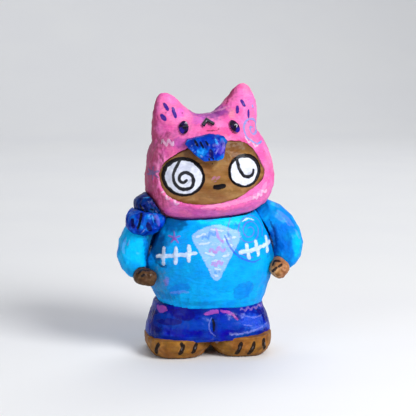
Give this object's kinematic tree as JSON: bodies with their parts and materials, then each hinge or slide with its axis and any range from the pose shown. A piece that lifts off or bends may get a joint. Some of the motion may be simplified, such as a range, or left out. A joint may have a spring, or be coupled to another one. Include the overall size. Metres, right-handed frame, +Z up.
{
  "type": "vinyl art toy",
  "caption": "Hand-painted vinyl figure standing with hands on hips, in an animal-eared hood, sweater and shorts; head turns at the neck and arms at the shoulders.",
  "frame": {"origin": "on the surface that the feet stand on, at the middle of the figure's width and depth", "axes": "+Z up, the figure looks along -Y, +X on the right as one looks at its front"},
  "size_m": [0.0818, 0.0482, 0.1166],
  "materials": {
    "hood_paint": "brushed pink acrylic, semi-gloss varnish",
    "skin_paint": "brushed brown acrylic, satin",
    "hair_paint": "brushed blue acrylic, gloss varnish",
    "eye_white": "white acrylic, gloss",
    "gloss_black": "gloss black",
    "sweater_paint": "brushed blue acrylic, semi-gloss varnish",
    "shorts_paint": "brushed navy acrylic, semi-gloss varnish",
    "bare_vinyl": "unpainted moulded vinyl"
  },
  "bodies": {
    "torso": {"torso_shell": "sweater_paint", "shorts_shell": "shorts_paint", "left_foot": "skin_paint", "right_foot": "skin_paint", "neck_plug": "bare_vinyl", "waist_plug": "bare_vinyl", "hair_lock_upper": "hair_paint", "hair_lock_lower": "hair_paint"},
    "head": {"hood_shell": "hood_paint", "face_plate": "skin_paint", "forelock": "hair_paint", "left_eye_disc": "eye_white", "right_eye_disc": "eye_white", "hood_left_eye": "gloss_black", "hood_right_eye": "gloss_black", "hood_nose": "gloss_black"},
    "left_arm": {"left_sleeve": "sweater_paint", "left_hand": "skin_paint", "left_shoulder_plug": "bare_vinyl"},
    "right_arm": {"right_sleeve": "sweater_paint", "right_hand": "skin_paint", "right_shoulder_plug": "bare_vinyl"}
  },
  "joints": [
    {"name": "neck_turn", "type": "hinge", "parent": "torso", "child": "head", "pos_m": [-0.0006, 0.0011, 0.0804], "axis": [-0.1045, 0, 0.9945], "range_deg": [-30, 30]},
    {"name": "left_shoulder_turn", "type": "hinge", "parent": "torso", "child": "left_arm", "pos_m": [-0.0248, 0.0011, 0.0502], "axis": [-0.9336, 0, 0.3584], "range_deg": [0, 10]},
    {"name": "right_shoulder_turn", "type": "hinge", "parent": "torso", "child": "right_arm", "pos_m": [0.0236, 0.0011, 0.0526], "axis": [-0.9336, 0, -0.3584], "range_deg": [0, 45]}
  ]
}
